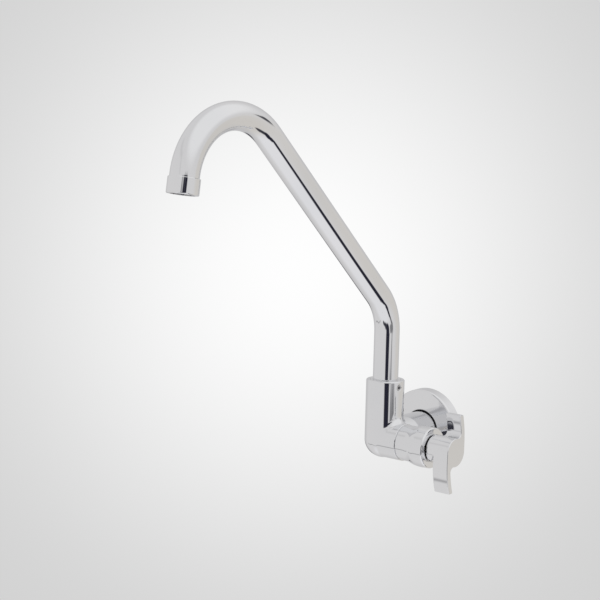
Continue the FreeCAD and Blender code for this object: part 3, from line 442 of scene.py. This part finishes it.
# How much the flanks are steeper than a plain wave's, which leaves the crest and root flat.
FLANK_STEEPNESS = 1.25
# Distances in metres below which a height is at the waist's edge, two points are one point
# and an edge has no length.
AT_WAIST = 1e-9
SAME_POINT = 1e-7
NO_LENGTH = 1e-8


def thread_height(turn):
    """Height of a rounded thread, 0 at the root and 1 at the crest, over one pitch."""
    ramp = FLANK_STEEPNESS * (1.0 - 4.0 * abs(turn % 1.0 - 0.5))
    return 0.5 + 0.5 * math.sin(math.pi / 2 * max(-1.0, min(1.0, ramp)))


def nipple_radius(sizes, start, end, full, y, turn):
    """Outer radius of the nipple at one point of its length."""
    waist_start = -sizes.waist_start
    waist_end = -sizes.waist_end
    if waist_start - AT_WAIST < y < waist_end + AT_WAIST:
        return sizes.waist_radius
    low, high = (start, waist_start) if y < waist_start else (waist_end, end)
    thin = full - sizes.lead_in
    bevel = min(thin + y - low, thin + high - y)
    crest = full - sizes.depth * (1.0 - thread_height(turn))
    return min(crest, max(bevel, sizes.waist_radius))


def thread_skin(mesh, sizes, start, end, full):
    """The outside of the nipple, whose columns of faces follow the helix."""
    thin = full - sizes.lead_in
    rows = math.ceil((end - start) / sizes.pitch + RUN_IN + 1) * POINTS_PER_PITCH
    columns = []
    for step, angle in enumerate(ANGLES):
        column = []
        for row in range(rows):
            turn = row / POINTS_PER_PITCH
            y = start + sizes.pitch * (turn + step / STEPS_ROUND - RUN_IN)
            if start < y < end:
                radius = nipple_radius(sizes, start, end, full, y, turn)
            else:
                radius = thin
            y = min(max(y, start), end)
            column.append(round_point(mesh, y, radius, angle))
        columns.append(column)
    # One turn of the helix ends a pitch further on, beside the first column.
    columns.append(columns[0][POINTS_PER_PITCH:])
    for near, far in zip(columns, columns[1:]):
        for row in range(min(len(near), len(far)) - 1):
            mesh.faces.new((near[row], near[row + 1], far[row + 1], far[row]))


def water_way(mesh, sizes, start, end, thin):
    """The nipple's two end faces, its bore and the hexagon socket for a key."""

    def hexagon(angle):
        side = math.pi / 3
        return sizes.key / 2 / math.cos(angle % side - side / 2)

    def bore(angle):
        return sizes.bore / 2

    def edge(angle):
        return thin

    socket_floor = end - sizes.key_depth
    outline = [(end, edge), (end, hexagon), (socket_floor, hexagon), (socket_floor, bore),
               (start, bore), (start, edge)]
    rings = [[round_point(mesh, y, radius(angle), angle) for angle in ANGLES]
             for y, radius in outline]
    for ring, following in zip(rings, rings[1:]):
        for step in range(STEPS_ROUND):
            after = (step + 1) % STEPS_ROUND
            mesh.faces.new((ring[step], following[step], following[after], ring[after]))


def round_point(mesh, y, radius, angle):
    """A point round the nipple's axis."""
    return mesh.verts.new((radius * math.cos(angle), y, radius * math.sin(angle)))


def threaded_nipple(sizes):
    """A tube whose outside follows a helix, with a bore and a hexagon socket."""
    low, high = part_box("inlet_nipple")
    start, end, full = low[1], high[1], high[0]
    mesh = bmesh.new()
    thread_skin(mesh, sizes, start, end, full)
    water_way(mesh, sizes, start, end, full - sizes.lead_in)
    bmesh.ops.remove_doubles(mesh, verts=mesh.verts, dist=SAME_POINT)
    bmesh.ops.dissolve_degenerate(mesh, edges=mesh.edges, dist=NO_LENGTH)
    bmesh.ops.recalc_face_normals(mesh, faces=mesh.faces)
    return mesh


def new_piece(name, mesh):
    """An object with this mesh, smooth across its faces and sharp at its corners."""
    data = bpy.data.meshes.new(name)
    mesh.to_mesh(data)
    mesh.free()
    for face in data.polygons:
        face.use_smooth = True
    data.set_sharp_from_angle(angle=SHARP_ANGLE)
    piece = bpy.data.objects.new(name, data)
    bpy.context.scene.collection.objects.link(piece)
    return piece


# Studio

# Where the camera stands, in metres, and the directions of its right, its up and its back.
CAMERA_PLACE = (0.6670, -0.9324, 0.2454)
CAMERA_RIGHT = (0.74651, 0.66497, 0.02323)
CAMERA_UP = (-0.09370, 0.07050, 0.99310)
CAMERA_BACK = (0.65875, -0.74353, 0.11494)
# Width of the camera's sensor in millimetres.
SENSOR_WIDTH = 36.0
# Height of the background's bright spot over the picture's middle, as a slope.
GLOW_RISE = 0.023

# Each lamp's place from the tap's middle and its width, in metres.
KEY_LAMP = ((-0.55, -1.0, 1.1), 0.9)
FILL_LAMP = ((1.2, -0.2, 0.7), 0.8)

FLOOR_RINGS = 8
FLOOR_SIDES = 64
# Shares of the floor's radius between which its paint fades out.
FADE_START = 0.35
FADE_END = 0.98

# The room that the metal mirrors is laid out in degrees: bearing 0 is towards the camera,
# 90 to its right, and height 0 is level.

# Broad soft patches: bearing, height, radius of the full tone, radius where it ends, tone.
PATCHES = (
    (60, 60, 34, 56, (0.90, 0.90, 0.90)),
    (5, -68, 25, 54, (0.88, 0.88, 0.895)),
    (125, -30, 25, 58, (0.715, 0.69, 0.65)),
    (180, -8, 12, 62, (0.60, 0.595, 0.60)),
)

# Dark cards: from bearing and height, to bearing and height, half width, softness, depth.
CARDS = (
    (-30, -34, -12, -25, 5.5, 3.0, 0.95),
    (-12, -25, 4, -18, 8.0, 3.5, 0.97),
    (4, -15, 5, -7, 13.5, 3.0, 1.0),
    (6, -7, 9, -1, 13.0, 3.0, 1.0),
    (19, 5, 24, 4, 6.0, 2.0, 1.0),
    (-6, -6, -6, 6, 5.0, 2.5, 0.95),
    (110, 16, 103, 13, 3.0, 1.5, 0.90),
    (-168, -26, -168, -20, 6.0, 3.0, 0.95),
    (163, -26, 163, -21, 2.5, 5.0, 0.45),
    (98, -57, 84, -56, 7.0, 3.0, 0.95),
    (84, -56, 76, -54, 7.0, 3.0, 0.97),
    (76, -54, 70, -49, 7.0, 3.0, 0.97),
    (69, -51, 63, -52, 9.5, 2.5, 1.0),
    (62, -49, 58, -40, 7.0, 2.5, 1.0),
    (58, -40, 50, -39, 6.5, 2.5, 1.0),
    (50, -39, 44, -33, 7.0, 2.5, 1.0),
    (44, -33, 45, -22, 4.5, 2.5, 0.90),
    (30, -15, 50, -15, 5.0, 2.0, 0.70),
    (43, -12, 44, -5, 2.5, 2.5, 0.85),
    (-116, -25, -101, -30, 1.4, 1.8, 0.50),
    (-101, -30, -83, -30, 1.4, 1.8, 0.55),
    (-83, -30, -62, -39, 1.2, 1.8, 0.50),
    (-97, 42, -46, 34, 3.0, 4.0, 0.12),
    (-46, 34, -34, 18, 3.0, 4.0, 0.12),
)


class Room(Tree):
    """The world: what the camera sees, what lights the tap and what the metal mirrors."""

    def __init__(self, look):
        world = bpy.data.worlds.new("studio")
        bpy.context.scene.world = world
        super().__init__(world)
        self.look = look
        self.direction = self.node("ShaderNodeTexCoord", output="Generated")

    def toward(self, vector):
        """Cosine of the angle between the direction looked in and this one."""
        return self.node("ShaderNodeVectorMath", {"operation": "DOT_PRODUCT"},
                         {0: self.direction, 1: vector}, output="Value")

    def bearings(self):
        """Bearing from the camera's side and height above level, in degrees."""
        level = math.hypot(CAMERA_BACK[0], CAMERA_BACK[1])
        front = (CAMERA_BACK[0] / level, CAMERA_BACK[1] / level, 0.0)
        side = (-front[1], front[0], 0.0)
        degrees = 180.0 / math.pi
        bearing = self.toward(side).reckon("ARCTAN2", self.toward(front)) * degrees
        height = self.parts(self.direction)[2].reckon("ARCSINE") * degrees
        return bearing, height

    def card(self, bearing, height, card):
        """How dark one card makes this direction, from 0 to 1."""
        from_bearing, from_height, to_bearing, to_height, half_width, softness, depth = card
        run = (to_bearing - from_bearing, to_height - from_height)
        across = bearing - from_bearing
        up = height - from_height
        reach = run[0] ** 2 + run[1] ** 2
        part = ((across * run[0] + up * run[1]) / reach).held()
        gap = ((across - part * run[0]) ** 2.0 + (up - part * run[1]) ** 2.0) ** 0.5
        return gap.ease(half_width + softness, half_width - softness) * depth

    def patch(self, bearing, height, full, end):
        """How much a broad patch colours this direction, from 0 to 1."""
        turn = math.radians(bearing) + math.atan2(CAMERA_BACK[0], -CAMERA_BACK[1])
        rise = math.radians(height)
        middle = (math.cos(rise) * math.sin(turn), -math.cos(rise) * math.cos(turn),
                  math.sin(rise))
        return self.toward(middle).ease(math.cos(math.radians(end)),
                                        math.cos(math.radians(full)))

    def mirrored(self):
        """The room that the metal mirrors."""
        tone = self.look.room_colour
        for *place, colour in PATCHES:
            tone = self.blend(self.patch(*place), tone, colour)
        bearing, height = self.bearings()
        dark = None
        for card in CARDS:
            mask = self.card(bearing, height, card)
            dark = mask if dark is None else dark.at_least(mask)
        return self.blend(dark, tone, self.look.card_colour)

    def background(self):
        """The pale background, brightest a little above the middle of the picture."""
        centre = Vector(CAMERA_UP) * GLOW_RISE - Vector(CAMERA_BACK)
        away = self.toward(tuple(centre.normalized())).reckon("ARCCOSINE")
        return self.blend(away.ease(0.0, self.look.glow_reach), self.look.centre_colour,
                          self.look.edge_colour)

    def close(self):
        """Ends the world in its shader, with its own tone for each kind of ray."""
        rays = self.node("ShaderNodeLightPath").socket.node.outputs
        seen = Wire(self, rays["Is Camera Ray"]) + Wire(self, rays["Is Transmission Ray"])
        glossy = Wire(self, rays["Is Glossy Ray"])
        level = self.look.daylight
        light = self.blend(seen.held(), (level, level, level), self.background())
        shown = self.blend(glossy, light, self.mirrored())
        shader = self.node("ShaderNodeBackground", None, {"Color": shown, "Strength": 1.0})
        self.node("ShaderNodeOutputWorld", None, {"Surface": shader})


def floor_mesh(centre, radius):
    """A round sheet of rings of faces."""
    mesh = bmesh.new()
    rings = []
    for ring in range(1, FLOOR_RINGS + 1):
        reach = radius * ring / FLOOR_RINGS
        points = []
        for side in range(FLOOR_SIDES):
            angle = 2 * math.pi * side / FLOOR_SIDES
            points.append(mesh.verts.new((centre.x + reach * math.cos(angle),
                                          centre.y + reach * math.sin(angle), centre.z)))
        rings.append(points)
    middle = mesh.verts.new(centre)
    for side in range(FLOOR_SIDES):
        after = (side + 1) % FLOOR_SIDES
        mesh.faces.new((middle, rings[0][side], rings[0][after]))
        for ring, outer in zip(rings, rings[1:]):
            mesh.faces.new((ring[side], outer[side], outer[after], ring[after]))
    return mesh


def floor_paint(look, centre):
    """Pale paint that fades out at the floor's edge and that the metal doesn't mirror."""
    finish = Finish("floor_paint")
    place = finish.place()
    gap = finish.node("ShaderNodeVectorMath", {"operation": "DISTANCE"},
                      {0: place, 1: tuple(centre)}, output="Value")
    flecks = finish.noise(place, scale=60.0, detail=4.0)
    colour = finish.blend(flecks, look.floor_colour, look.fleck_colour)
    rays = finish.node("ShaderNodeLightPath").socket.node.outputs
    matt = finish.node("ShaderNodeBsdfPrincipled", None,
                       {"Base Color": colour, "Roughness": 0.9, "Specular IOR Level": 0.1})
    clear = finish.node("ShaderNodeBsdfTransparent")
    away = gap.ease(look.floor_radius * FADE_START, look.floor_radius * FADE_END)
    fade = away.at_least(Wire(finish, rays["Is Glossy Ray"]))
    shown = finish.node("ShaderNodeMixShader", None, {0: fade, 1: matt, 2: clear})
    finish.node("ShaderNodeOutputMaterial", None, {"Surface": shown})
    return finish.material


def soft_lamp(name, middle, lamp_place, power):
    """A round lamp that faces the tap's middle and that the metal doesn't mirror."""
    offset, width = lamp_place
    lamp = bpy.data.lights.new(name, "AREA")
    lamp.shape = "DISK"
    lamp.size = width
    lamp.energy = power
    piece = bpy.data.objects.new(name, lamp)
    bpy.context.scene.collection.objects.link(piece)
    piece.location = middle + Vector(offset)
    piece.rotation_euler = (middle - piece.location).to_track_quat("-Z", "Y").to_euler()
    piece.visible_glossy = False


# Operators

class TapOperator(bpy.types.Operator):
    """A step that can be undone"""
    bl_options = {"REGISTER", "UNDO"}


class TAP_OT_chrome_plate(TapOperator):
    """Give the body, flange, sleeve, handle, spout and outlet ring their chrome plate"""
    bl_idname = "tap.chrome_plate"
    bl_label = "Chrome plate"

    def execute(self, context):
        dress(CHROME_NODES, polished_chrome(context.scene.tap_chrome))
        return {"FINISHED"}


class TAP_OT_brass_parts(TapOperator):
    """Give the headwork, spindle and spout tail the look of turned brass"""
    bl_idname = "tap.brass_parts"
    bl_label = "Turned brass parts"

    def execute(self, context):
        scene = context.scene
        dress(BRASS_NODES, turned_brass(scene.tap_brass, "x"))
        low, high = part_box("spout_tailpiece")
        tail = turned_brass(scene.tap_brass, "z", "plated_tail", scene.tap_chrome,
                            high[2] - PLATED_TOP)
        dress(["spout_tailpiece"], tail)
        return {"FINISHED"}


class TAP_OT_seals(TapOperator):
    """Give the rings, gaskets and washers the look of moulded rubber"""
    bl_idname = "tap.seals"
    bl_label = "Rubber seals"

    def execute(self, context):
        dress(RUBBER_NODES, moulded_rubber(context.scene.tap_rubber))
        return {"FINISHED"}


class TAP_OT_plastic_parts(TapOperator):
    """Give the slip ring, thrust washer and flow straightener the look of acetal"""
    bl_idname = "tap.plastic_parts"
    bl_label = "Plastic parts"

    def execute(self, context):
        dress(PLASTIC_NODES, moulded_acetal(context.scene.tap_plastic))
        return {"FINISHED"}


class TAP_OT_ceramic_discs(TapOperator):
    """Give the two valve discs the look of lapped alumina"""
    bl_idname = "tap.ceramic_discs"
    bl_label = "Ceramic discs"

    def execute(self, context):
        dress(CERAMIC_NODES, lapped_ceramic(context.scene.tap_ceramic))
        return {"FINISHED"}


class TAP_OT_steel_parts(TapOperator):
    """Give the clip, grub screws and outlet grid the look of stainless steel"""
    bl_idname = "tap.steel_parts"
    bl_label = "Steel parts"

    def execute(self, context):
        dress(STEEL_NODES, drawn_steel(context.scene.tap_steel))
        return {"FINISHED"}


class TAP_OT_inlet_nipple(TapOperator):
    """Make the inlet nipple with its helical pipe thread"""
    bl_idname = "tap.inlet_nipple"
    bl_label = "Threaded inlet nipple"

    def execute(self, context):
        scene = context.scene
        piece = new_piece("threaded_nipple", threaded_nipple(scene.tap_thread))
        piece.data.materials.append(turned_brass(scene.tap_brass, "y"))
        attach(piece, "tap_body")
        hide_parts("inlet_nipple")
        return {"FINISHED"}


class TAP_OT_studio(TapOperator):
    """Set up the camera, the lamps, the floor and the room that the chrome mirrors"""
    bl_idname = "tap.studio"
    bl_label = "Studio"

    def execute(self, context):
        scene = context.scene
        look = scene.tap_studio
        low, high = (Vector(corner) for corner in CAD_BOX)
        middle = (low + high) / 2

        lens = bpy.data.cameras.new("camera")
        lens.lens = look.focal_length
        lens.sensor_width = SENSOR_WIDTH
        camera = bpy.data.objects.new("camera", lens)
        scene.collection.objects.link(camera)
        turn = Matrix((CAMERA_RIGHT, CAMERA_UP, CAMERA_BACK)).transposed().to_4x4()
        camera.matrix_world = Matrix.Translation(CAMERA_PLACE) @ turn
        scene.camera = camera

        Room(look).close()
        soft_lamp("key_lamp", middle, KEY_LAMP, look.key_power)
        soft_lamp("fill_lamp", middle, FILL_LAMP, look.fill_power)

        centre = Vector((middle.x, middle.y, low.z - look.floor_drop))
        ground = new_piece("floor", floor_mesh(centre, look.floor_radius))
        ground.data.materials.append(floor_paint(look, centre))

        scene.view_settings.view_transform = "Standard"
        return {"FINISHED"}


class TAP_PT_pieces(bpy.types.Panel):
    """Steps that dress the tap"""
    bl_idname = "TAP_PT_pieces"
    bl_label = "Kitchen tap"
    bl_space_type = "VIEW_3D"
    bl_region_type = "UI"
    bl_category = "Tap"

    def draw(self, context):
        for step in STEPS:
            self.layout.operator(step.bl_idname)


GROUPS = {
    "tap_chrome": TAP_PG_chrome,
    "tap_brass": TAP_PG_brass,
    "tap_rubber": TAP_PG_rubber,
    "tap_plastic": TAP_PG_plastic,
    "tap_ceramic": TAP_PG_ceramic,
    "tap_steel": TAP_PG_steel,
    "tap_thread": TAP_PG_thread,
    "tap_studio": TAP_PG_studio,
}
STEPS = (TAP_OT_chrome_plate, TAP_OT_brass_parts, TAP_OT_seals, TAP_OT_plastic_parts,
         TAP_OT_ceramic_discs, TAP_OT_steel_parts, TAP_OT_inlet_nipple, TAP_OT_studio)
CLASSES = (*GROUPS.values(), *STEPS, TAP_PT_pieces)


def register():
    for part in CLASSES:
        bpy.utils.register_class(part)
    for name, group in GROUPS.items():
        setattr(bpy.types.Scene, name, PointerProperty(type=group))


def unregister():
    for name in GROUPS:
        delattr(bpy.types.Scene, name)
    for part in reversed(CLASSES):
        bpy.utils.unregister_class(part)


def main():
    register()
    for step in STEPS:
        group, name = step.bl_idname.split(".")
        getattr(getattr(bpy.ops, group), name)()


if __name__ == "__main__":
    main()
